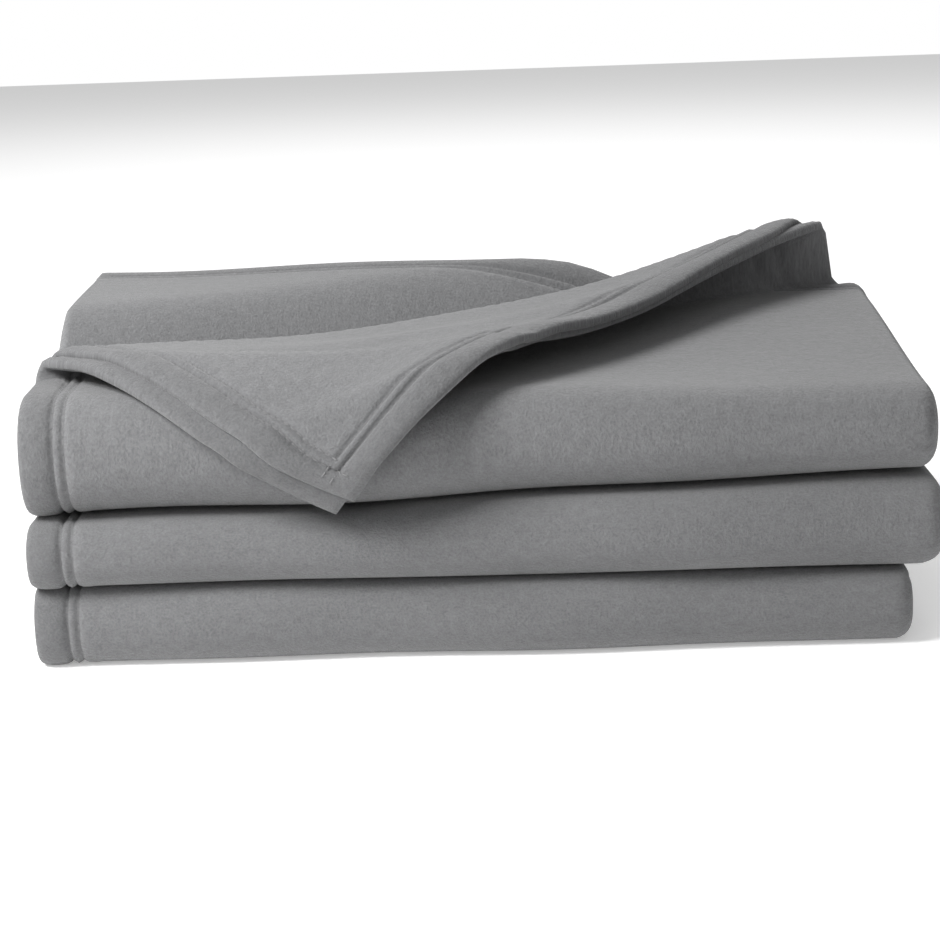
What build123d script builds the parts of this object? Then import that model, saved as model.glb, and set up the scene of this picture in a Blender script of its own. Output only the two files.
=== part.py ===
from build123d import *
import math
import os

# A throw blanket of plush fleece, hemmed on all four sides with a twin-needle stitch.
# It is folded in four across its width and in six along its length, zigzag, so that three
# rounded folds lie one on another at the front and two at the back.
# The corner at the left of the back is turned over the top and hangs down the front.
# Frame: x to the right, y to the back, z up, origin under the middle of the stack.

# the blanket as it lies
FOLD_WIDTH = 381.0
FOLD_DEPTH = 228.0
FLOOR_GAP = 0.0
BODY_GAP = 0.35
FRAME_X = 195.0
FRAME_Y = 110.0

# where the three folds begin and end across the width, and their noses at the front
BOTTOM_X = (1.0, 378.0)
MIDDLE_X = (0.0, 391.0)
TOP_X = (-1.0, 389.0)
BOTTOM_NOSE = 1.0
MIDDLE_NOSE = 0.0
TOP_NOSE = 2.0

# heights at the front, left and right, and at the back
BOTTOM_TOP = 34.0
MIDDLE_TOP_LEFT = 62.0
MIDDLE_TOP_RIGHT = 73.0
MIDDLE_TOP_BACK = 65.0
TOP_LEFT_FRONT = 119.0
TOP_LEFT_BACK = 132.0
TOP_RIGHT_FRONT = 113.0
TOP_RIGHT_BACK = 136.0

# the folds at the back
PIVOT_Y = 206.0
END_Y = 226.0
LOOP_REACH = 19.0
END_PLIES = 15.5
TOP_END_LOW = 86.0

# rounded edges
NOSE_SHARE = 0.85
NOSE_POWER = 2.3
NOSE_STEPS = 12
SIDE_INSETS = (0.0, 1.5, 5.0, 12.0)
SIDE_SHARES = (0.5, 0.74, 0.93, 1.0)
NOSE_PULL = 10.0

# the turned corner: crease from the left side to the back right, tip over the front
CREASE_LEFT = (0.0, 51.8)
CREASE_RIGHT = (381.0, 224.4)
TIP = (135.0, -48.0)
CREASE_CLEAR = 8.0
PLY = 3.2
PLY_LIFT = 0.5
DRAPE_LIFT = 2.2
CORNER_X = (14.0, 362.0)
CORNER_SECTIONS = 16
FLAT_STEPS = 3
NOSE_ROWS = 14
NOSE_START_Y = 34.0
ROLL_RADIUS = 5.5

# hems and their twin-needle seams
HEM_WIDTH = 19.0
HEM_LIFT = 1.1
SEAM_INSET = 14.3
SEAM_GAUGE = 4.8
THREAD_RADIUS = 0.35
THREAD_LIFT = 0.8
HEM_ANGLE = 62.0


def place(x, y, z):
    """A point of the stack in the part's frame."""
    return Vector(x - FRAME_X, y - FRAME_Y, z)


def mix(a, b, share):
    """The value a share of the way from a to b."""
    return a + (b - a) * share


def power(value, exponent):
    """A signed power, for rounded noses."""
    return math.copysign(abs(value) ** exponent, value)


def section(x, outline):
    """A closed wire across the stack at x, from its (y, z) outline."""
    return Wire.make_polygon([place(x, y, z) for y, z in outline], close=True)


def skin_through(stations):
    """A closed solid through (x, outline) stations."""
    return Solid.make_loft([section(x, outline) for x, outline in stations], True)


def nose_point(nose, low, high, angle):
    """A point on a fold's rounded front, from -90 degrees below to 90 above."""
    half = (high - low) / 2
    reach = NOSE_SHARE * half
    turn = math.radians(angle)
    y = nose + reach - reach * power(math.cos(turn), 2 / NOSE_POWER)
    z = (low + high) / 2 + half * power(math.sin(turn), 2 / NOSE_POWER)
    return y, z


def nose_points(nose, low, high, first=-90.0, last=90.0):
    """Points round a fold's front between two angles."""
    steps = range(NOSE_STEPS + 1)
    return [nose_point(nose, low, high, mix(first, last, s / NOSE_STEPS)) for s in steps]


def shrunk(outline, share):
    """An outline drawn in towards its middle height, for a rounded side."""
    middle = (min(z for _, z in outline) + max(z for _, z in outline)) / 2
    nose = min(y for y, _ in outline)
    back = max(y for y, _ in outline)
    pull = NOSE_PULL * (1 - share)
    result = []
    for y, z in outline:
        along = (y - nose) / (back - nose)
        result.append((y + pull * (1 - along), middle + (z - middle) * share))
    return result


def fold(x_range, outline_at):
    """A fold of the blanket with rounded sides; outline_at gives its outline at a share of the width."""
    left, right = x_range
    stations = []
    for inset, share in zip(SIDE_INSETS, SIDE_SHARES):
        place_share = inset / (right - left)
        stations.append((left + inset, shrunk(outline_at(place_share), share)))
    for inset, share in zip(reversed(SIDE_INSETS), reversed(SIDE_SHARES)):
        place_share = 1 - inset / (right - left)
        stations.append((right - inset, shrunk(outline_at(place_share), share)))
    return skin_through(stations)


def bottom_heights(share):
    """Lower and upper height of the bottom fold's front."""
    return FLOOR_GAP, BOTTOM_TOP - BODY_GAP


def middle_heights(share):
    """Lower and upper height of the middle fold's front."""
    return BOTTOM_TOP + BODY_GAP, mix(MIDDLE_TOP_LEFT, MIDDLE_TOP_RIGHT, share) - BODY_GAP


def top_heights(share):
    """Lower and upper height of the top fold's front."""
    low = mix(MIDDLE_TOP_LEFT, MIDDLE_TOP_RIGHT, share) + BODY_GAP
    return low, mix(TOP_LEFT_FRONT, TOP_RIGHT_FRONT, share)


def top_back(share):
    """Height of the top fold's back edge."""
    return mix(TOP_LEFT_BACK, TOP_RIGHT_BACK, share)


def bottom_outline(share):
    """The bottom fold: its lowest plies run on to the end hem."""
    low, high = bottom_heights(share)
    back = [(PIVOT_Y, high), (PIVOT_Y, END_PLIES), (END_Y, END_PLIES), (END_Y, low)]
    return nose_points(BOTTOM_NOSE, low, high) + back


def middle_outline(share):
    """The middle fold, which ends where the two back folds begin."""
    low, high = middle_heights(share)
    back = [(PIVOT_Y, MIDDLE_TOP_BACK - BODY_GAP), (PIVOT_Y, low)]
    return nose_points(MIDDLE_NOSE, low, high) + back


def top_outline(share):
    """The top fold: its upper plies run on to the end hem."""
    low, high = top_heights(share)
    ledge = [(END_Y, top_back(share)), (END_Y, TOP_END_LOW), (PIVOT_Y, TOP_END_LOW)]
    back = ledge + [(PIVOT_Y, MIDDLE_TOP_BACK + BODY_GAP)]
    return nose_points(TOP_NOSE, low, high) + back


def back_loop(x_range, low, high):
    """A rounded fold at the back that joins the fold below it to the one above."""
    middle = (low + high) / 2
    half = (high - low) / 2
    start = PIVOT_Y + BODY_GAP

    def outline(share):
        points = []
        for step in range(NOSE_STEPS + 1):
            turn = math.radians(mix(-90.0, 90.0, step / NOSE_STEPS))
            points.append((start + LOOP_REACH * math.cos(turn), middle + half * math.sin(turn)))
        return points

    return fold(x_range, outline)


def side_hem(x_start, nose, heights, x_range):
    """The hem band round a fold's front at its left end."""
    stations = []
    for x in (x_start, x_start + HEM_WIDTH):
        low, high = heights((x - x_range[0]) / (x_range[1] - x_range[0]))
        inner = nose_points(nose - BODY_GAP, low, high, -HEM_ANGLE, HEM_ANGLE)
        outer = nose_points(nose - BODY_GAP - HEM_LIFT, low, high, -HEM_ANGLE, HEM_ANGLE)
        stations.append((x, inner + outer[::-1]))
    return skin_through(stations)


def thread(points):
    """One thread of a seam along a row of points."""
    path = Spline(*points)
    cross = Plane(origin=path @ 0, z_dir=path % 0)
    return sweep(sections=cross * Circle(THREAD_RADIUS), path=path)


def side_seam(x_start, nose, heights, x_range):
    """The two needle threads of a side hem round a fold's front."""
    threads = []
    lift = BODY_GAP + HEM_LIFT + THREAD_LIFT
    for offset in (SEAM_INSET - SEAM_GAUGE, SEAM_INSET):
        x = x_start + offset
        low, high = heights((x - x_range[0]) / (x_range[1] - x_range[0]))
        curve = nose_points(nose - lift, low, high, -HEM_ANGLE, HEM_ANGLE)
        threads.append(thread([place(x, y, z) for y, z in curve]))
    return Compound(threads)


def surface_path(x):
    """The top fold's upper surface at x from back to front, then straight down past its nose."""
    share = (x - TOP_X[0]) / (TOP_X[1] - TOP_X[0])
    low, high = top_heights(share)
    front = nose_points(TOP_NOSE, low, high, 90.0, 0.0)
    drop = (TOP_NOSE, low)
    return [(END_Y, top_back(share))] + front + [drop]


def along_path(points, y_flat):
    """Point and outward normal where the flat distance y_flat falls, measured from the back edge."""
    left = FOLD_DEPTH - y_flat
    for (y0, z0), (y1, z1) in zip(points, points[1:]):
        length = math.hypot(y1 - y0, z1 - z0)
        if left <= length or (y1, z1) == points[-1]:
            share = left / length
            normal = ((z1 - z0) / length, -(y1 - y0) / length)
            return mix(y0, y1, share), mix(z0, z1, share), normal
        left -= length
    return None


def lifted(x, y_flat, lift):
    """The place a lift above the top fold's surface at x and the flat distance y_flat."""
    y, z, (normal_y, normal_z) = along_path(surface_path(x), y_flat)
    return y + lift * normal_y, z + lift * normal_z


def crease_y(x):
    """The crease line in the flat."""
    return mix(CREASE_LEFT[1], CREASE_RIGHT[1], x / CREASE_RIGHT[0])


def edge_y(x):
    """The turned corner's free edge in the flat: side hem up to the tip, end hem after it."""
    if x < TIP[0]:
        return mix(CREASE_LEFT[1], TIP[1], x / TIP[0])
    return mix(TIP[1], CREASE_RIGHT[1], (x - TIP[0]) / (CREASE_RIGHT[0] - TIP[0]))


def flat_rows(start, end):
    """Flat distances from start forward to end, closer together where the band rounds the nose."""
    turn = min(max(end + (start - end) / 3, NOSE_START_Y), end + (start - end) * 2 / 3)
    if end > NOSE_START_Y:
        turn = end + (start - end) / 3
    rows = [mix(start, turn, s / FLAT_STEPS) for s in range(FLAT_STEPS)]
    return rows + [mix(turn, end, s / NOSE_ROWS) for s in range(NOSE_ROWS + 1)]


def draped_band(x_stops, first_y, last_y, low, high):
    """A band that follows the top fold between two flat lines, from a lower to an upper lift."""
    stations = []
    for x in x_stops:
        rows = flat_rows(first_y(x), last_y(x))
        under = [lifted(x, y, low) for y in rows]
        over = [lifted(x, y, high) for y in rows]
        stations.append((x, under + over[::-1]))
    return skin_through(stations)


def corner_stops():
    """Stations across the turned corner, with one at its tip."""
    left = [mix(CORNER_X[0], TIP[0], s / 5) for s in range(5)]
    right = [mix(TIP[0], CORNER_X[1], s / CORNER_SECTIONS) for s in range(CORNER_SECTIONS + 1)]
    return left + right


def corner_ply(index):
    """One of the two plies of the turned corner."""
    low = DRAPE_LIFT + index * (PLY + PLY_LIFT)
    return draped_band(
        corner_stops(), lambda x: crease_y(x) - CREASE_CLEAR, edge_y, low, low + PLY
    )


def corner_top():
    """Lift of the turned corner's upper face."""
    return DRAPE_LIFT + 2 * PLY + PLY_LIFT


def side_slope():
    """Flat distance along y for one across the corner's side hem."""
    return math.hypot(1, (CREASE_LEFT[1] - TIP[1]) / TIP[0])


def end_slope():
    """Flat distance along y for one across the corner's end hem."""
    return math.hypot(1, (CREASE_RIGHT[1] - TIP[1]) / (CREASE_RIGHT[0] - TIP[0]))


def corner_hem(x_range, slope, steps):
    """A hem band on the turned corner's upper face."""
    stops = [mix(x_range[0], x_range[1], s / steps) for s in range(steps + 1)]
    low = corner_top() + PLY_LIFT
    return draped_band(
        stops, lambda x: edge_y(x) + HEM_WIDTH * slope, edge_y, low, low + HEM_LIFT
    )


def corner_seam(x_range, slope, steps):
    """The two needle threads of a hem on the turned corner."""
    lift = corner_top() + PLY_LIFT + HEM_LIFT + THREAD_LIFT
    threads = []
    for inset in (SEAM_INSET - SEAM_GAUGE, SEAM_INSET):
        points = []
        for step in range(steps + 1):
            x = mix(x_range[0], x_range[1], step / steps)
            y, z = lifted(x, edge_y(x) + inset * slope, lift)
            points.append(place(x, y, z))
        threads.append(thread(points))
    return Compound(threads)


def corner_roll():
    """The soft roll of the crease, from the left side to the back right."""
    ends = []
    for x in (CORNER_X[0], CORNER_X[1]):
        y, z = lifted(x, crease_y(x), PLY_LIFT + ROLL_RADIUS)
        ends.append(place(x, y, z))
    path = Line(*ends)
    return sweep(sections=Plane(origin=path @ 0, z_dir=path % 0) * Circle(ROLL_RADIUS), path=path)


def top_end_hem():
    """The hem along the top fold's back edge, left of the crease."""
    stops = (12.0, 310.0)
    low = PLY_LIFT
    return draped_band(
        stops, lambda x: FOLD_DEPTH - PLY, lambda x: FOLD_DEPTH - HEM_WIDTH, low, low + HEM_LIFT
    )


def top_end_seam():
    """The two needle threads of the hem along the back edge."""
    lift = PLY_LIFT + HEM_LIFT + THREAD_LIFT
    threads = []
    for inset in (SEAM_INSET - SEAM_GAUGE, SEAM_INSET):
        points = []
        for x in (14.0, 110.0, 210.0, 308.0):
            y, z = lifted(x, FOLD_DEPTH - inset, lift)
            points.append(place(x, y, z))
        threads.append(thread(points))
    return Compound(threads)


def bottom_end_hem():
    """The hem at the back of the lowest plies."""
    start = place(BOTTOM_X[0], END_Y, 0)
    length = BOTTOM_X[1] - BOTTOM_X[0] - 2 * SIDE_INSETS[-1]
    band = Box(length, HEM_LIFT, END_PLIES / 2)
    centre = Vector(0, start.Y + BODY_GAP + HEM_LIFT / 2, END_PLIES / 2)
    middle = (BOTTOM_X[0] + BOTTOM_X[1]) / 2 - FRAME_X
    return Location((middle, centre.Y, centre.Z)) * band


def save(name, solid):
    """Writes one sub-part."""
    export_step(solid, os.path.join("parts", name + ".step"))


os.makedirs("parts", exist_ok=True)

HEM_START = 13.0
CORNER_SIDE_X = (24.0, 124.0)
CORNER_END_X = (156.0, 328.0)

save("bottom_fold", fold(BOTTOM_X, bottom_outline))
save("middle_fold", fold(MIDDLE_X, middle_outline))
save("top_fold", fold(TOP_X, top_outline))
save("lower_back_fold", back_loop(BOTTOM_X, END_PLIES + BODY_GAP, MIDDLE_TOP_BACK - 17.0))
save("upper_back_fold", back_loop(MIDDLE_X, MIDDLE_TOP_BACK - 16.0, TOP_END_LOW - BODY_GAP))

save("bottom_side_hem", side_hem(HEM_START, BOTTOM_NOSE, bottom_heights, BOTTOM_X))
save("middle_side_hem", side_hem(HEM_START, MIDDLE_NOSE, middle_heights, MIDDLE_X))
save("top_side_hem", side_hem(HEM_START, TOP_NOSE, top_heights, TOP_X))
save("bottom_side_seam", side_seam(HEM_START, BOTTOM_NOSE, bottom_heights, BOTTOM_X))
save("middle_side_seam", side_seam(HEM_START, MIDDLE_NOSE, middle_heights, MIDDLE_X))
save("top_side_seam", side_seam(HEM_START, TOP_NOSE, top_heights, TOP_X))

save("top_end_hem", top_end_hem())
save("top_end_seam", top_end_seam())
save("bottom_end_hem", bottom_end_hem())

save("corner_roll", corner_roll())
save("corner_under_ply", corner_ply(0))
save("corner_over_ply", corner_ply(1))
save("corner_side_hem", corner_hem(CORNER_SIDE_X, side_slope(), 8))
save("corner_end_hem", corner_hem(CORNER_END_X, end_slope(), 10))
save("corner_side_seam", corner_seam(CORNER_SIDE_X, side_slope(), 8))
save("corner_end_seam", corner_seam(CORNER_END_X, end_slope(), 10))
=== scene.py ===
# %% [markdown]
# A throw blanket of plush fleece, hemmed all round and folded into a stack. The whole throw
# is one sheet of cloth. Every point of it has a place in the flat, u across the width and v
# along the length, and one chain of functions folds that place into the stack: in four
# across, in six along, then the corner turned over and hung down the front.

import math

import bpy
import numpy as np
from mathutils import Euler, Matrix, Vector


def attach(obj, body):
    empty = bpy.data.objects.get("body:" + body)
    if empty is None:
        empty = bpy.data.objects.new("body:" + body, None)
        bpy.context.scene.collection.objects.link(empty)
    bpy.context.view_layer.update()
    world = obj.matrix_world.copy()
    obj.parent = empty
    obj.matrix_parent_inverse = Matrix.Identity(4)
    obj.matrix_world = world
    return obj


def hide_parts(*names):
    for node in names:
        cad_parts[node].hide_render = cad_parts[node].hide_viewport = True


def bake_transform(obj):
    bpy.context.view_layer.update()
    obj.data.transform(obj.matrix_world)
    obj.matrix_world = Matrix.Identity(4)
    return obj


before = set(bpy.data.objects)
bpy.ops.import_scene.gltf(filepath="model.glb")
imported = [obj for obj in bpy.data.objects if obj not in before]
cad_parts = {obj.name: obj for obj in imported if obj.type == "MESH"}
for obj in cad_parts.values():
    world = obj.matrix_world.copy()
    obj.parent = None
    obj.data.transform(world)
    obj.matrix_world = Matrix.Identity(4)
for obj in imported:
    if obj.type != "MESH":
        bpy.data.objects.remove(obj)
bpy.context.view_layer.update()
MM = 0.001
FRAME_X, FRAME_Y = 195.0, 110.0

# %% [markdown]
# The sizes, in millimetres. The throw is 1524 by 1368 mm, so a fold is 381 mm wide and
# 228 mm deep. The pitch is one ply of cloth with the air beside it. Heights are where one
# fold of the stack ends and the next begins: at the left and right of the front, and at
# the back. The two rows of a hem are so far from the edge of the cloth.

# %% Sizes
WIDTH, DEPTH = 381.0, 228.0
PITCH = 4.1
THICK = 3.5
STRIP = 4 * PITCH
OUTER_ROW, INNER_ROW = 14.3, 19.1
FRONT_ARC, BACK_ARC = 30.0, 16.0
REACH = (14.0, 15.5, 26.0)
BACK_REACH = 19.0
LAP_REACH = 40.0
LEFT = (1.0, 0.0, -1.0)
RIGHT = (378.0, 391.0, 389.0)
NOSE = (1.0, 0.0, 2.0)
FRONT_LEFT = (0.0, 35.0, 62.0, 119.0)
FRONT_RIGHT = (0.0, 33.0, 73.0, 113.0)
BACK_LEFT = (0.0, 32.0, 65.0, 124.0)
BACK_RIGHT = (0.0, 32.0, 65.0, 126.0)
CREASE_LEFT = np.array([0.0, 51.8])
CREASE_RIGHT = np.array([378.0, 223.0])
CREASE_DIR = (CREASE_RIGHT - CREASE_LEFT) / np.linalg.norm(CREASE_RIGHT - CREASE_LEFT)
BEYOND = np.array([-CREASE_DIR[1], CREASE_DIR[0]])
print("throw", 4 * WIDTH, "by", 6 * DEPTH, "mm")

# %% [markdown]
# Soft cloth is never even, so heights and noses carry slow waves. Each wave is a sum of a
# few sines whose phases come from a seeded generator, so every run is the same. A brush
# could do it by hand, but a formula lets every ply carry the same wave as its neighbour.


# %% Slow waves
WAVE_SKEW = 0.54


def waves(seed, x, y, lengths):
    """Sum over the wave lengths of sin(2 pi (x cos a + y sin a) / length + phase),
    scaled to about -1..1."""
    rng = np.random.default_rng(seed)
    total = np.zeros(np.broadcast(x, y).shape)
    for length in lengths:
        angle = rng.uniform(-WAVE_SKEW, WAVE_SKEW)
        phase = rng.uniform(0, 2 * np.pi)
        along = x * np.cos(angle) + y * np.sin(angle)
        total = total + np.sin(2 * np.pi * along / length + phase)
    return total / math.sqrt(len(lengths))


def smooth(t):
    """t clipped to 0..1, then 3 t^2 - 2 t^3."""
    t = np.clip(t, 0.0, 1.0)
    return t * t * (3 - 2 * t)


def signed_power(t, p):
    """Sign of t times its size to the power p."""
    return np.sign(t) * np.abs(t) ** p


print("a wave at four places", np.round(waves(31, np.arange(4) * 90.0, np.zeros(4), (120, 190)), 2))

# %% [markdown]
# Across the width the cloth is folded in four. From the left hem the first ply runs to the
# right, goes round the outer fold under the other three, comes back, turns at the left,
# runs inside to the inner right fold and ends at the left in the second hem. The depth in
# the strip is 0 on the side of the first ply. A cloth simulation could fold it, but a formula
# keeps every ply in its place.


# %% Folding in four
def across(u):
    """Place x and depth h in the folded strip for a flat place u: straight runs joined by
    half circles of 1.5 pitch at u = W and half a pitch at u = 2 W and 3 W."""
    outer, inner = 1.5 * PITCH, 0.5 * PITCH
    arc2, arc1 = outer * np.pi / 2, inner * np.pi / 2
    right, left, inside = WIDTH - outer, 5.5, WIDTH - 3.6 * PITCH
    stops = [0, WIDTH - arc2, WIDTH + arc2, 2 * WIDTH - arc1, 2 * WIDTH + arc1]
    stops += [3 * WIDTH - arc1, 3 * WIDTH + arc1, 4 * WIDTH]
    x = np.interp(u, stops, [0, right, right, left, left, inside, inside, 1.5])
    depth = [0.5, 0.5, 3.5, 3.5, 2.5, 2.5, 1.5, 1.5]
    h = np.interp(u, stops, np.array(depth) * PITCH)
    for centre, radius, arc, base, middle, turn in (
        (WIDTH, outer, arc2, right, 2.0, 1),
        (2 * WIDTH, inner, arc1, left, 3.0, -1),
        (3 * WIDTH, inner, arc1, inside, 2.0, 1),
    ):
        angle = (u - centre) / radius
        on = np.abs(u - centre) < arc
        side = 1 if centre == WIDTH else -1
        x = np.where(on, base + turn * radius * np.cos(angle), x)
        h = np.where(on, middle * PITCH + side * radius * np.sin(angle), h)
    return x, h


print("strip", np.round(np.ptp(across(np.linspace(0, 4 * WIDTH, 400))[0])), "mm wide")

# %% [markdown]
# Along the length the strip is folded in six, zigzag: forward on the floor, round the first
# front fold, back, round the first back fold, and so on up to the end hem at the top. At a
# front fold the first ply is outermost, at a back fold the fourth.


# %% Folding in six
def lengthwise(v, h):
    """Place y and stack height z for a flat place v and depth h. Runs are straight; fold k
    is a half turn through angle (v - k D) / arc * 90 degrees, with superellipse noses at
    the front."""
    y = np.zeros(np.broadcast(v, h).shape)
    z = np.zeros_like(y)
    for k in range(6):
        start = k * DEPTH + ((BACK_ARC if k % 2 == 0 else FRONT_ARC) if k else 0)
        stop = (k + 1) * DEPTH - ((FRONT_ARC if k % 2 == 0 else BACK_ARC) if k < 5 else 0)
        nose = NOSE[k // 2] + REACH[k // 2]
        back = DEPTH - (2.0 if k in (0, 5) else BACK_REACH)
        share = np.clip((v - start) / (stop - start), 0, 1)
        run = back + (nose - back) * share if k % 2 == 0 else nose + (back - nose) * share
        height = k * STRIP + h if k % 2 == 0 else (k + 1) * STRIP - h
        on = (v >= start - 1e-6) & (v <= stop + 1e-6)
        y = np.where(on, run, y)
        z = np.where(on, height, z)
    front_power = 0.87
    for k in range(1, 6):
        front = k % 2 == 1
        arc = FRONT_ARC if front else BACK_ARC
        on = np.abs(v - k * DEPTH) < arc
        angle = np.clip((v - k * DEPTH) / arc, -1, 1) * np.pi / 2
        radius = STRIP - h if front else h
        power = front_power if front else 1.0
        cos, sin = np.cos(angle) ** power, signed_power(np.sin(angle), power)
        if front:
            reach = REACH[k // 2]
            bend = NOSE[k // 2] + reach - reach * radius / STRIP * cos
        else:
            bend = DEPTH - BACK_REACH + BACK_REACH * radius / STRIP * cos
        y = np.where(on, bend, y)
        z = np.where(on, k * STRIP + radius * sin, z)
    return y, z


print("plain stack", 6 * STRIP, "mm high")

# %% [markdown]
# The stack as it lies is softer than the plain folds: each fold has its own height, width
# and nose, and its surfaces wave a little. These functions carry a plain place to the real
# one. Inside a fold the height is a share of the way between two levels, so plies stay in
# order.


# %% Shape of the stack
LEVEL_WAVES = (0.5, 0.9, 1.2)
DIP, DIP_X, DIP_Y, DIP_SIZE = 6.5, 165, 115, 90.0
FILL, FILL_START, FILL_RISE, FILL_END, FILL_FALL = 50.0, 10, 60, 350, 120
NOSE_WAVE, NOSE_WAVE_FADE = 1.3, 90


def level(k, x, y):
    """Height of the surface on top of fold k at (x, y): bilinear between the four corners,
    plus waves. The top one dips in the middle and rises beyond the crease."""
    s, t = np.clip(x / WIDTH, 0, 1), smooth((y - 20) / (DEPTH - 40))
    front = FRONT_LEFT[k] * (1 - s) + FRONT_RIGHT[k] * s
    back = BACK_LEFT[k] * (1 - s) + BACK_RIGHT[k] * s
    height = front * (1 - t) + back * t
    if k:
        height = height + LEVEL_WAVES[k - 1] * waves(10 + k, x, y, (150, 230, 370))
    if k == 3:
        d = (x - CREASE_LEFT[0]) * BEYOND[0] + (y - CREASE_LEFT[1]) * BEYOND[1]
        away = (x - DIP_X) ** 2 + (y - DIP_Y) ** 2
        height = height - DIP * np.exp(-(away / DIP_SIZE**2))
        beyond = smooth((d - FILL_START) / FILL_RISE)
        height = height + FILL * beyond * smooth((FILL_END - x) / FILL_FALL)
    return height


def by_fold(z, values):
    """A value per fold, carried smoothly from one fold to the next by the stack height z."""
    knots = np.array([0, 6.6, 9.4, 14.6, 17.4, 24]) * PITCH
    rows = np.stack([np.broadcast_to(values[i], z.shape) for i in (0, 0, 1, 1, 2, 2)])
    slot = np.clip(np.searchsorted(knots, z.ravel()) - 1, 0, 4).reshape(z.shape)
    t = smooth((z - knots[slot]) / (knots[slot + 1] - knots[slot]))
    low = np.take_along_axis(rows, slot[None], 0)[0]
    high = np.take_along_axis(rows, slot[None] + 1, 0)[0]
    return low + (high - low) * t


def nose_wave(k, x):
    """How far the nose of fold k leans to the back at x."""
    return NOSE_WAVE * waves(31 + k, x, 0 * x, (120, 190, 310))


def settle(x, y, z):
    """The real place of a plain place: height between two levels, width and nose by fold."""
    fold = np.clip((z / (8 * PITCH)).astype(int), 0, 2)
    share = z / (8 * PITCH) - fold
    low = np.choose(fold, [level(k, x, y) for k in (0, 1, 2)])
    high = np.choose(fold, [level(k, x, y) for k in (1, 2, 3)])
    left = by_fold(z, LEFT)
    right = by_fold(z, RIGHT)
    real_x = left + x / WIDTH * (right - left)
    push = by_fold(z, [nose_wave(k, x) for k in range(3)])
    front = smooth(1 - y / NOSE_WAVE_FADE)
    real_y = y + push * front
    return real_x, real_y, low + (high - low) * share


print("top at the front left", np.round(level(3, np.zeros(1), np.zeros(1)), 1), "mm")

# %% [markdown]
# The turned corner takes the first and second ply of the last fold. Beyond the crease they
# roll over on themselves and lie on the stack face down, so the second ply ends on top.
# Past the front edge they hang down over the top fold's nose. A flap of its own would be
# simpler, but as the same sheet the corner has no seam at the crease.


# %% The turned corner
ROLL_CENTRE = 24.45 * PITCH
LEAST_RADIUS = 0.5
DROP_SHARE, LEAN_SHARE, SIDE_SHARE = 0.72, 0.06, 0.22


def turn_corner(x, y, z, on, fade):
    """Points beyond the crease by d go round a roll of radius r = centre - z through the
    angle d / r, then lie back at distance d - pi r. Returns the new x, y, z and how far
    through the half turn each is."""
    d = (x - CREASE_LEFT[0]) * BEYOND[0] + (y - CREASE_LEFT[1]) * BEYOND[1]
    along = (x - CREASE_LEFT[0]) * CREASE_DIR[0] + (y - CREASE_LEFT[1]) * CREASE_DIR[1]
    d = np.where(d > 0, d * fade, d)
    use = on & (d > 0)
    r = np.maximum(ROLL_CENTRE - z, LEAST_RADIUS)
    angle = np.minimum(np.maximum(d, 0) / r, np.pi)
    past = np.maximum(d - np.pi * r, 0)
    out = r * np.sin(angle) - past
    new_z = ROLL_CENTRE - r * np.cos(angle)
    new_x = CREASE_LEFT[0] + along * CREASE_DIR[0] + out * BEYOND[0]
    new_y = CREASE_LEFT[1] + along * CREASE_DIR[1] + out * BEYOND[1]
    turned = np.where(use, angle / np.pi, 0.0)
    return np.where(use, new_x, x), np.where(use, new_y, y), np.where(use, new_z, z), turned


def drape(x, y, lift):
    """Lays a flat place over the top fold: on top as it is, round the nose by arc length,
    then down, a little to the right and less far than it would hang straight. The nose is
    an ellipse widened by the lift."""
    low, high = level(2, x, x * 0), level(3, x, x * 0)
    half, middle = (high - low) / 2, (high + low) / 2
    start = NOSE[2] + LAP_REACH
    a, b = LAP_REACH + lift, half + lift
    quarter = np.pi / 2 * np.sqrt((a * a + b * b) / 2)
    s = np.maximum(start - y, 0)
    angle = np.minimum(s / quarter, 1) * np.pi / 2
    hang = np.maximum(s - quarter, 0)
    over = y < start
    top = level(3, x, np.maximum(y, start)) + lift
    push = nose_wave(2, x) * smooth(1 - y / NOSE_WAVE_FADE)
    new_x = x + SIDE_SHARE * np.where(over, hang, 0)
    new_y = np.where(over, start - a * np.sin(angle) + LEAN_SHARE * hang, y)
    new_z = np.where(over, middle + b * np.cos(angle) - DROP_SHARE * hang, top)
    return new_x, new_y + push, new_z


# Each ridge has its middle x0, y0, its slope and bow, and its height, width and reach.
RIDGES = (
    (140, 41, 0.13, 0.00110, 3.0, 9, 105),
    (165, 88, 0.34, 0.00030, 2.4, 11, 90),
    (140, 0, 0.34, 0.00060, 2.4, 8, 55),
    (250, 120, 0.62, 0.00000, 2.0, 12, 80),
)


def ridges(x, y):
    """Soft folds across the turned corner, each a rounded ridge along the curve
    y0 + slope (x - x0) + bow (x - x0)^2."""
    total = np.zeros(x.shape)
    for x0, y0, slope, bow, high, wide, reach in RIDGES:
        line = y0 + slope * (x - x0) + bow * (x - x0) ** 2
        gone = np.exp(-(((x - x0) / reach) ** 2))
        total = total + high * gone * np.exp(-(((y - line) / wide) ** 2))
    return total


print("roll centre at", ROLL_CENTRE, "mm,", len(RIDGES), "ridges")

# %% [markdown]
# One function puts it all together. It takes flat places and gives the middle of the cloth,
# with how far each point has turned round the crease.


# %% From the flat to the stack
PLIES_TOP = 24 * PITCH
FIRST_END, SECOND_START = WIDTH - 9, 3 * WIDTH + 4
ROLL_FADE = 22
PUSH_EARLY, PUSH_LATE = 11, 8
BACK_RIGHT_LIFT, HEM_CURL = 16.5, 7.5


def second_ply_push(u, v):
    """How far the second ply of the last fold lies behind the first, so both hems show."""
    last = smooth((v - 5.3 * DEPTH) / (0.6 * DEPTH))
    past = u - 3 * WIDTH
    return (PUSH_EARLY * smooth((past - 5) / 60) + PUSH_LATE * smooth((past - 30) / 320)) * last


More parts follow.
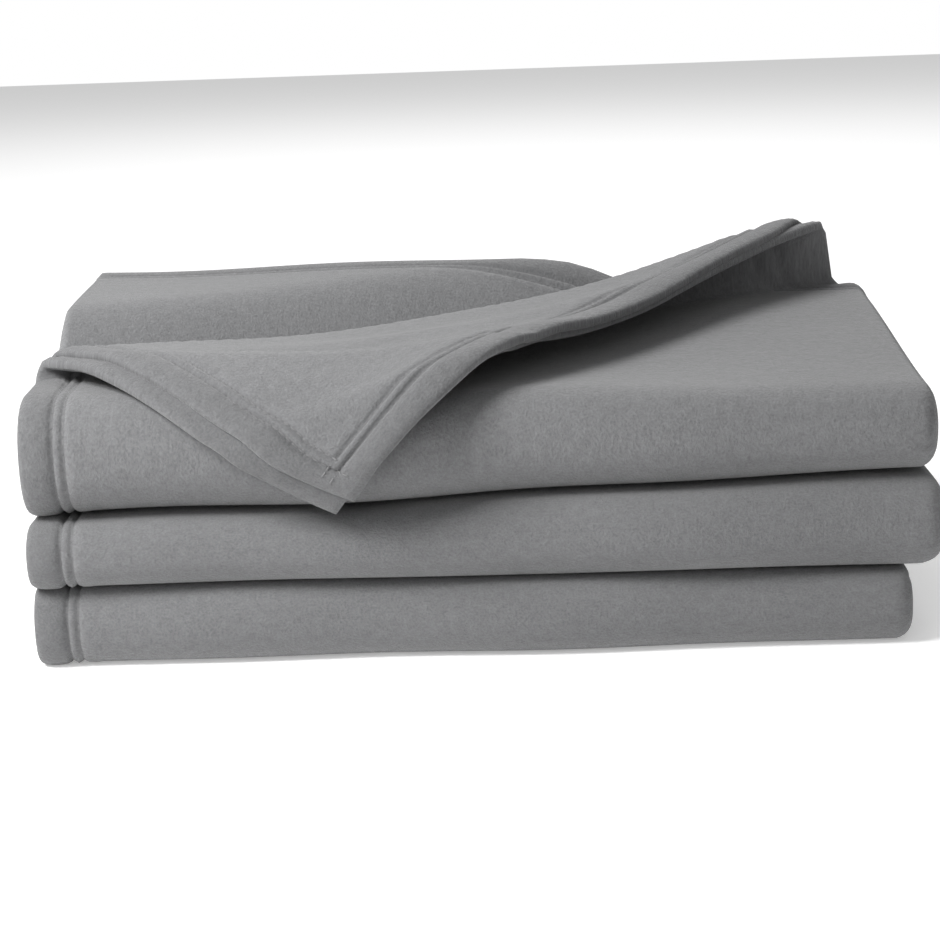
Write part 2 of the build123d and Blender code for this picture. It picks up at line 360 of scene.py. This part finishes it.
def corner_lift(x, y, v):
    """Extra height of the turned corner: its ridges, its back right and its end hem."""
    near_right = np.exp(-(((x - 376) ** 2 + (y - 226) ** 2) / 105.0**2))
    curl = np.exp(-(((6 * DEPTH - v) / 42) ** 2)) * smooth((x - 110) / 60)
    return ridges(x, y) + BACK_RIGHT_LIFT * near_right + HEM_CURL * curl


def cloth(u, v):
    """Middle surface of the cloth in millimetres, as (..., 3), and the turn round the
    crease, 0 to 1."""
    u, v = np.broadcast_arrays(np.asarray(u, float), np.asarray(v, float))
    x, h = across(u)
    y, z = lengthwise(v, h)
    y = y + second_ply_push(u, v)
    to_fold = np.where(u < WIDTH, FIRST_END - u, u - SECOND_START)
    fade = smooth(to_fold / ROLL_FADE)
    plies = (u < FIRST_END) | (u > SECOND_START)
    on = plies & (v > 5 * DEPTH + FRONT_ARC)
    x, y, z, turned = turn_corner(x, y, z, on, fade)
    real_x, real_y, real_z = settle(x, np.maximum(y, 0), np.minimum(z, PLIES_TOP))
    lift = np.maximum(z - PLIES_TOP, 0)
    above = z > PLIES_TOP
    free = smooth(lift / 5)
    lift = lift + free * corner_lift(x, y, v)
    lap = np.stack(drape(x, y, lift), -1)
    lap[..., 0] = real_x + lap[..., 0] - x
    real = np.stack([real_x, real_y, real_z], -1)
    return np.where(above[..., None], lap, real), turned


def to_frame(p):
    """Millimetres in the stack to metres in the part's frame."""
    return (p - np.array([FRAME_X, FRAME_Y, 0.0])) * MM


print("corner's tip", np.round(cloth(4 * WIDTH, 6 * DEPTH)[0]), "mm")

# %% [markdown]
# The throw has a hem on all four sides, turned to the inside and sewn with a twin needle:
# two rows of stitches 4.8 mm apart that sink into the pile, with a raised rib between them.
# It could be a strip of its own laid on the cloth. Here it is a thickness for each face,
# from the distance to the nearest edge, so the hem turns with the cloth and has no gap.


# %% Hem profile
def edge_distance(u, v):
    """Flat distance to the nearest edge of the throw."""
    return np.minimum(np.minimum(u, 4 * WIDTH - u), np.minimum(v, 6 * DEPTH - v))


def bell(e, centre, width):
    """A bump of height 1: exp(-((e - centre) / width)^2)."""
    return np.exp(-(((e - centre) / width) ** 2))


def rim_share(e):
    """Rounds the very edge: from a quarter of the thickness to all of it in a quarter circle."""
    rim = np.sqrt(1 - (1 - np.clip(e / 2.6, 0, 1)) ** 2)
    return 0.25 + 0.75 * rim


def face_offset(e):
    """Height of the outer face above the middle of the cloth at edge distance e."""
    puff = 1.1 * np.sin(np.pi * np.clip(e / OUTER_ROW, 0, 1)) ** 0.7
    first = -1.5 * bell(e, OUTER_ROW, 0.9)
    second = -1.3 * bell(e, INNER_ROW, 0.9)
    rib = 0.5 * bell(e, (OUTER_ROW + INNER_ROW) / 2, 1.2)
    swell = 0.35 * bell(e, INNER_ROW + 3.9, 3.0)
    return (THICK / 2 + puff + first + second + rib + swell) * rim_share(e)


def back_offset(e):
    """Height of the inner face, thicker where the hem is turned in."""
    return (THICK / 2 + 1.3 * smooth((INNER_ROW + 2.4 - e) / 2.0)) * rim_share(e)


print("hem", np.round(face_offset(8.0) + back_offset(8.0), 2), "mm thick, cloth", THICK)

# %% [markdown]
# The mesh is a grid in the flat, close together at the hems and folds and wider apart
# inside the stack. Both faces of the cloth are offset from the middle along the normal,
# and a rim closes the edges, so each piece is a closed sheet.

# %% Grid and mesh
HEM_STOPS = np.array(
    [0, 0.4, 1.1, 2.6, 5, 7.5, 10, 12, 13.3, OUTER_ROW, 15.3, 16.7, 18.1, INNER_ROW, 20.1]
    + [21.5, 24, 27.5]
)
INNER_STOP = HEM_STOPS[-1]


def stops(*runs):
    """Joins runs of (start, stop, step) into one rising list of grid lines."""
    parts = [np.linspace(a, b, max(2, int(round((b - a) / step)) + 1)) for a, b, step in runs]
    return np.unique(np.round(np.concatenate(parts), 4))


FIRST_PLY = ((INNER_STOP, 345, 4.4), (345, 371, 3.5), (371, 391, 1.4), (391, 420, 7))
INNER_PLIES = ((420, 730, 12), (730, 757, 5), (757, 767, 1.0), (767, 800, 6), (800, 1100, 12))
LAST_PLY = ((1138, 1148, 1.0), (1148, 1180, 4), (1180, 4 * WIDTH - INNER_STOP, 3.8))
U_RUNS = stops(*FIRST_PLY, *INNER_PLIES, (1100, 1138, 5), *LAST_PLY)
U_LINES = np.unique(np.concatenate([HEM_STOPS, U_RUNS, 4 * WIDTH - HEM_STOPS]))


def v_lines(first, last):
    """Grid lines along the length between two places, closer at the folds, hems and the
    last run."""
    lines = [HEM_STOPS, 6 * DEPTH - HEM_STOPS]
    for k in range(1, 6):
        arc = FRONT_ARC if k % 2 else BACK_ARC
        lines.append(np.linspace(k * DEPTH - arc, k * DEPTH + arc, 21 if k % 2 else 15))
    for k in range(6):
        before, after = (BACK_ARC, FRONT_ARC) if k % 2 == 0 else (FRONT_ARC, BACK_ARC)
        a = k * DEPTH + (before if k else INNER_STOP)
        b = (k + 1) * DEPTH - (after if k < 5 else INNER_STOP)
        step = 2.9 if k == 5 else 10.0
        lines.append(np.linspace(a, b, int((b - a) / step) + 2))
    lines = np.unique(np.round(np.concatenate(lines), 4))
    return np.unique(np.concatenate([[first], lines[(lines > first) & (lines < last)], [last]]))


def normals(u, v):
    """Unit normals of the middle surface: the cross product of its two central
    differences of 0.2 mm, kept inside the throw."""
    step = 0.2
    u0, u1 = np.clip(u - step, 0, 4 * WIDTH), np.clip(u + step, 0, 4 * WIDTH)
    v0, v1 = np.clip(v - step, 0, 6 * DEPTH), np.clip(v + step, 0, 6 * DEPTH)
    across_dir = cloth(u1, v)[0] - cloth(u0, v)[0]
    along_dir = cloth(u, v1)[0] - cloth(u, v0)[0]
    n = np.cross(across_dir, along_dir)
    return n / np.maximum(np.linalg.norm(n, axis=-1, keepdims=True), 1e-9)


def sheet_faces(rows, cols):
    """Quads of the outer face, the inner face and the rim of a grid, outer points first."""
    count = rows * cols
    index = np.arange(count).reshape(rows, cols)
    a, b, c, d = index[:-1, :-1], index[:-1, 1:], index[1:, 1:], index[1:, :-1]
    top = np.stack([a, b, c, d], -1).reshape(-1, 4)
    bottom = np.stack([d, c, b, a], -1).reshape(-1, 4) + count
    loop = np.concatenate([index[0, :-1], index[:-1, -1], index[-1, :0:-1], index[:0:-1, 0]])
    after = np.roll(loop, -1)
    rim = np.stack([after, loop, loop + count, after + count], -1)
    return np.concatenate([top, bottom, rim])


def sheet_mesh(name, first, last):
    """A closed sheet of the throw between two places along its length: the middle surface
    plus and minus its normal times the two offsets. Its UV map is the flat in metres."""
    u, v = np.meshgrid(U_LINES, v_lines(first, last))
    middle, turned = cloth(u, v)
    n = normals(u, v)
    e = edge_distance(u, v)
    outer = middle + n * face_offset(e)[..., None]
    inner = middle - n * back_offset(e)[..., None]
    faces = sheet_faces(*u.shape)
    points = to_frame(np.concatenate([outer.reshape(-1, 3), inner.reshape(-1, 3)]))
    points[:, 2] = np.maximum(points[:, 2], 0.0)
    mesh = bpy.data.meshes.new(name)
    mesh.from_pydata(points, [], faces)
    flat = np.stack([u.ravel(), v.ravel()], -1) * MM
    flat = np.concatenate([flat, flat])
    uv = mesh.uv_layers.new(name="flat")
    uv.data.foreach_set("uv", flat[faces.ravel()].ravel().astype(np.float32))
    # The edge distance, kept on the mesh, sets where the painted shade on the hems falls.
    tone = mesh.attributes.new("edge_mm", "FLOAT", "POINT")
    both_faces = np.concatenate([e.ravel(), e.ravel()])
    tone.data.foreach_set("value", both_faces.astype(np.float32))
    mesh.polygons.foreach_set("use_smooth", np.ones(len(faces), bool))
    obj = bpy.data.objects.new(name, mesh)
    bpy.context.scene.collection.objects.link(obj)
    print(name, len(points), "points", 2 * len(faces), "triangles")
    return obj, v, turned


print(len(U_LINES), "grid lines across the width")

# %% [markdown]
# The sheet is made as three pieces: the lowest fold with the first back fold, the middle with the
# second back fold, and the top fold with the turned corner. Their seams are inside the stack.

# %% The three pieces of cloth
SPLITS = (0.0, 2.5 * DEPTH, 4.5 * DEPTH, 6 * DEPTH)


def carry(obj):
    """Bakes the piece's transform into its mesh."""
    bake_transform(obj)


lower, lower_v, _ = sheet_mesh("throw_lower_fold", SPLITS[0], SPLITS[1])
middle_piece, middle_v, _ = sheet_mesh("throw_middle_fold", SPLITS[1], SPLITS[2])
upper, _, upper_turn = sheet_mesh("throw_top_fold", SPLITS[2], SPLITS[3])

# %% [markdown]
# The seam threads are short stitches of polyester, each a small capsule half sunk in the
# pile. They follow the two rows of the twin needle wherever a hem can be seen. A curve with
# a bevel would give one long thread, so each stitch is a mesh of its own.


# %% Stitches
STITCH, STITCH_GAP, THREAD_RADIUS = 3.0, 0.7, 0.42
ROWS = (OUTER_ROW, INNER_ROW)


def capsule(sides=6):
    """A capsule along x, of unit half length and unit radius, as points and faces."""
    rings = ((-1.0, 0.45), (-0.75, 1.0), (0.75, 1.0), (1.0, 0.45))
    turn = np.linspace(0, 2 * np.pi, sides, endpoint=False)
    points = [(x, r * math.cos(t), r * math.sin(t)) for x, r in rings for t in turn]
    faces = []
    for ring in range(3):
        for s in range(sides):
            t = (s + 1) % sides
            low, high = ring * sides, (ring + 1) * sides
            faces.append((low + s, low + t, high + t, high + s))
    faces.append(tuple(range(sides))[::-1])
    faces.append(tuple(range(3 * sides, 4 * sides)))
    return np.array(points), faces


def on_face(u, v, lift):
    """Place a lift above the outer face, and the normal there."""
    n = normals(u, v)
    return cloth(u, v)[0] + n * (face_offset(edge_distance(u, v)) + lift)[..., None], n


def stitch_axes(u, v):
    """Middles of the stitches along one row of flat places, and the three half axes of
    each: along the thread, across it and out of the cloth, which is flattened."""
    run_places, _ = on_face(u, v, 0.1)
    step = np.linalg.norm(np.diff(run_places, axis=0), axis=1)
    run = np.concatenate([[0], np.cumsum(step)])
    half = STITCH / 2
    centres = np.arange(half, run[-1] - half, STITCH + STITCH_GAP)
    ends = []
    for shift in (-half, half):
        place = np.interp(centres + shift, run, u), np.interp(centres + shift, run, v)
        end, n = on_face(*place, 0.05)
        ends.append(end)
    along = (ends[1] - ends[0]) / 2
    tangent = along / np.linalg.norm(along, axis=1, keepdims=True)
    side = np.cross(n, tangent)
    side /= np.linalg.norm(side, axis=1, keepdims=True)
    up = np.cross(tangent, side)
    axes = np.stack([along, side * THREAD_RADIUS, up * THREAD_RADIUS * 0.7], 1)
    return (ends[0] + ends[1]) / 2, axes


def stitches(name, rows):
    """Capsules along rows of flat places (u, v) on the outer face, one mesh: each is the
    unit capsule times its half axes, moved to its middle."""
    base, base_faces = capsule()
    placed = [stitch_axes(u, v) for u, v in rows]
    points = [middle[:, None] + base @ axes for middle, axes in placed]
    points = np.concatenate([p.reshape(-1, 3) for p in points])
    starts = range(0, len(points), len(base))
    faces = [tuple(k + start for k in face) for start in starts for face in base_faces]
    mesh = bpy.data.meshes.new(name)
    mesh.from_pydata(to_frame(points), [], faces)
    mesh.polygons.foreach_set("use_smooth", np.ones(len(faces), bool))
    obj = bpy.data.objects.new(name, mesh)
    bpy.context.scene.collection.objects.link(obj)
    print(name, len(starts), "stitches")
    return obj


def nose_rows(k):
    """The side hem's two rows round the front fold k."""
    arc = FRONT_ARC * 0.97
    v = np.linspace(k * DEPTH - arc, k * DEPTH + arc, 60)
    return [(np.full_like(v, e), v) for e in ROWS]


lower_thread = stitches("bottom_side_stitches", nose_rows(1))
middle_thread = stitches("middle_side_stitches", nose_rows(3))
upper_thread = stitches("top_side_stitches", nose_rows(5))

side_v = np.linspace(5 * DEPTH + 118, 6 * DEPTH - 8, 160)
end_u = np.linspace(3 * WIDTH + 22, 4 * WIDTH - 6, 260)
corner_rows = [(np.full_like(side_v, 4 * WIDTH - e), side_v) for e in ROWS]
corner_rows += [(end_u, np.full_like(end_u, 6 * DEPTH - e)) for e in ROWS]
corner_thread = stitches("corner_stitches", corner_rows)

back_u = np.linspace(2 * WIDTH + 8, 3 * WIDTH - 16, 260)
back_rows = [(back_u, np.full_like(back_u, 6 * DEPTH - e)) for e in ROWS]
back_thread = stitches("top_end_stitches", back_rows)

# %% [markdown]
# The fleece is grey, dyed through, with a soft brushed pile. Its colour is mottled where
# the pile lies one way or the other, and fine bumps stand for the fibres. Hair would make
# real fibres but is heavy, so noise is used. All patterns lie on the flat cloth, so they
# bend with the folds.


# %% Materials
def link(tree, a, b):
    """Joins an output socket to an input socket."""
    tree.links.new(a, b)


def noise(tree, vector, scale, detail, rough=0.6):
    """A noise texture on a vector."""
    node = tree.nodes.new("ShaderNodeTexNoise")
    node.inputs["Scale"].default_value = scale
    node.inputs["Detail"].default_value = detail
    node.inputs["Roughness"].default_value = rough
    link(tree, vector, node.inputs["Vector"])
    return node.outputs["Fac"]


def span(tree, value, low, high, to_low, to_high):
    """Maps a value from one range to another, clipped."""
    node = tree.nodes.new("ShaderNodeMapRange")
    ends = {"From Min": low, "From Max": high, "To Min": to_low, "To Max": to_high}
    for name, number in ends.items():
        node.inputs[name].default_value = number
    link(tree, value, node.inputs["Value"])
    return node.outputs["Result"]


def math_node(tree, kind, a, b):
    """A two-value math node; each value is a socket or a number."""
    node = tree.nodes.new("ShaderNodeMath")
    node.operation = kind
    for socket, value in zip(node.inputs, (a, b)):
        if isinstance(value, (int, float)):
            socket.default_value = value
        else:
            link(tree, value, socket)
    return node.outputs["Value"]


def fleece(name, base):
    """Brushed fleece: a grey times the sum of three noises, with painted shade darkening the hem,
    with sheen and a bump of the same noises, all on the flat map."""
    mat = bpy.data.materials.new(name)
    mat.use_nodes = True
    tree = mat.node_tree
    shader = tree.nodes["Principled BSDF"]
    flat = tree.nodes.new("ShaderNodeUVMap")
    flat.uv_map = "flat"
    place = flat.outputs["UV"]
    patch = noise(tree, place, 22.0, 4.0)
    mottle = noise(tree, place, 240.0, 4.0, 0.65)
    fibre = noise(tree, place, 900.0, 3.0, 0.7)
    tone = math_node(tree, "ADD", span(tree, patch, 0.3, 0.7, -0.03, 0.03), 1.0)
    tone = math_node(tree, "ADD", tone, span(tree, mottle, 0.3, 0.7, -0.10, 0.10))
    tone = math_node(tree, "ADD", tone, span(tree, fibre, 0.3, 0.7, -0.2, 0.2))
    edge = tree.nodes.new("ShaderNodeAttribute")
    edge.attribute_name = "edge_mm"
    # Painted shade: the colour darkens to 0.86 of itself from 21 mm to 12 mm of the edge, over the
    # hems.
    hem_painted_shade = span(tree, edge.outputs["Fac"], 12.0, 21.0, 0.86, 1.0)
    tone = math_node(tree, "MULTIPLY", tone, hem_painted_shade)
    colour = tree.nodes.new("ShaderNodeVectorMath")
    colour.operation = "SCALE"
    colour.inputs[0].default_value = base
    link(tree, tone, colour.inputs["Scale"])
    link(tree, colour.outputs["Vector"], shader.inputs["Base Color"])
    high = math_node(tree, "ADD", math_node(tree, "MULTIPLY", mottle, 1.2), fibre)
    high = math_node(tree, "ADD", high, math_node(tree, "MULTIPLY", patch, 1.5))
    bump = tree.nodes.new("ShaderNodeBump")
    bump.inputs["Strength"].default_value = 0.55
    bump.inputs["Distance"].default_value = 0.0012
    link(tree, high, bump.inputs["Height"])
    link(tree, bump.outputs["Normal"], shader.inputs["Normal"])
    shader.inputs["Roughness"].default_value = 0.95
    shader.inputs["Specular IOR Level"].default_value = 0.15
    shader.inputs["Sheen Weight"].default_value = 0.25
    shader.inputs["Sheen Roughness"].default_value = 0.5
    return mat


def thread_material():
    """Polyester thread, a little darker than the fleece, with a twist."""
    mat = bpy.data.materials.new("thread")
    mat.use_nodes = True
    tree = mat.node_tree
    shader = tree.nodes["Principled BSDF"]
    place = tree.nodes.new("ShaderNodeTexCoord").outputs["Object"]
    twist = noise(tree, place, 1800.0, 2.0)
    ramp = tree.nodes.new("ShaderNodeMix")
    ramp.data_type = "RGBA"
    ramp.inputs["A"].default_value = (0.10, 0.10, 0.102, 1)
    ramp.inputs["B"].default_value = (0.17, 0.17, 0.173, 1)
    link(tree, twist, ramp.inputs["Factor"])
    link(tree, ramp.outputs["Result"], shader.inputs["Base Color"])
    bump = tree.nodes.new("ShaderNodeBump")
    bump.inputs["Distance"].default_value = 0.0002
    link(tree, twist, bump.inputs["Height"])
    link(tree, bump.outputs["Normal"], shader.inputs["Normal"])
    shader.inputs["Roughness"].default_value = 0.6
    return mat


FLEECE = fleece("fleece", (0.146, 0.147, 0.150))
THREAD = thread_material()
for piece in (lower, middle_piece, upper):
    piece.data.materials.append(FLEECE)
for piece in (lower_thread, middle_thread, upper_thread, corner_thread, back_thread):
    piece.data.materials.append(THREAD)
print("materials", FLEECE.name, THREAD.name)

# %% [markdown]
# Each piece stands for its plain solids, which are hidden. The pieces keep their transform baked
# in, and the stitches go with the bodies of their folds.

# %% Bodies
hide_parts("bottom_fold", "lower_back_fold", "bottom_side_hem", "bottom_end_hem")
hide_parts("middle_fold", "upper_back_fold", "middle_side_hem")
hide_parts("top_fold", "top_side_hem", "top_end_hem", "corner_roll")
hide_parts("corner_under_ply", "corner_over_ply", "corner_side_hem", "corner_end_hem")
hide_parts("bottom_side_seam")
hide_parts("middle_side_seam")
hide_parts("top_side_seam")
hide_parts("corner_side_seam", "corner_end_seam")
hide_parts("top_end_seam")


carry(lower)
carry(middle_piece)
carry(upper)
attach(lower_thread, "lower_stack")
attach(middle_thread, "middle_stack")
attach(upper_thread, "top_stack")
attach(corner_thread, "turned_corner")
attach(back_thread, "top_stack")

for piece, length in ((lower, 2.5), (middle_piece, 2.0), (upper, 1.5)):
    print(piece.name, "flat", 4 * WIDTH, "by", length * DEPTH, "mm")

# %% [markdown]
# The floor is plain and pale and gives off a little light of its own, so it stays white. A
# soft key light comes from above and the left, and a big one behind lights the floor. The
# camera sees the sky as white, while the throw is lit by a dimmer one.

# %% Floor and sky
bpy.ops.mesh.primitive_plane_add(size=8, location=(0, 0, 0))
floor = bpy.context.object
floor.name = "floor"
paper = bpy.data.materials.new("paper")
paper.use_nodes = True
paper_shader = paper.node_tree.nodes["Principled BSDF"]
paper_shader.inputs["Base Color"].default_value = (0.9, 0.9, 0.9, 1)
paper_shader.inputs["Roughness"].default_value = 0.8
paper_shader.inputs["Emission Color"].default_value = (1, 1, 1, 1)
paper_shader.inputs["Emission Strength"].default_value = 0.3
floor.data.materials.append(paper)

world = bpy.data.worlds.new("studio")
bpy.context.scene.world = world
world.use_nodes = True
sky_tree = world.node_tree
sky = sky_tree.nodes["Background"]
sky.inputs["Color"].default_value = (1, 1, 1, 1)
sky.inputs["Strength"].default_value = 0.3
seen = sky_tree.nodes.new("ShaderNodeBackground")
seen.inputs["Color"].default_value = (1, 1, 1, 1)
choose = sky_tree.nodes.new("ShaderNodeMixShader")
ray = sky_tree.nodes.new("ShaderNodeLightPath")
link(sky_tree, ray.outputs["Is Camera Ray"], choose.inputs["Fac"])
link(sky_tree, sky.outputs["Background"], choose.inputs[1])
link(sky_tree, seen.outputs["Background"], choose.inputs[2])
link(sky_tree, choose.outputs["Shader"], sky_tree.nodes["World Output"].inputs["Surface"])
print("floor", tuple(floor.dimensions))

# %% [markdown]
# Three square lights: the key shapes the folds, a weak one in front fills them, and the one
# behind whitens the floor.


# %% Lights
def area_light(name, size, power, place, target=(0, 0, 0.06)):
    """A square soft light that faces the target."""
    data = bpy.data.lights.new(name, "AREA")
    data.size = size
    data.energy = power
    light = bpy.data.objects.new(name, data)
    bpy.context.scene.collection.objects.link(light)
    light.location = place
    light.rotation_euler = (Vector(target) - Vector(place)).to_track_quat("-Z", "Y").to_euler()
    return light


key_light = area_light("key", 0.4, 14, (-0.62, -0.42, 0.74), (-0.06, 0, 0.06))
area_light("front", 1.0, 5, (-0.5, -1.5, 0.6))
area_light("back", 2.0, 22, (0.0, 1.6, 1.6), (0, 0.9, 0.0))

print("key light at", tuple(np.round(key_light.location, 2)))

# %% [markdown]
# The camera stands about a metre in front, a little above the stack, and looks slightly
# down with a long lens, which keeps the three folds nearly parallel.

# %% Camera
camera_data = bpy.data.cameras.new("camera")
camera_data.sensor_width = 36.0
camera_data.lens = 91.915
camera = bpy.data.objects.new("camera", camera_data)
bpy.context.scene.collection.objects.link(camera)
camera.location = ((212 - FRAME_X) * MM, (-988 - FRAME_Y) * MM, 311 * MM)
yaw, pitch, roll = (math.radians(angle) for angle in (-1.2, 12.94, -2.06))
level_look = math.cos(pitch)
look = Vector((math.sin(yaw) * level_look, math.cos(yaw) * level_look, -math.sin(pitch)))
camera.rotation_mode = "QUATERNION"
tilt = Euler((0, 0, roll)).to_quaternion()
camera.rotation_quaternion = look.to_track_quat("-Z", "Y") @ tilt
bpy.context.scene.camera = camera
bpy.context.scene.view_settings.view_transform = "Standard"
print("camera at", tuple(np.round(camera.location, 3)))
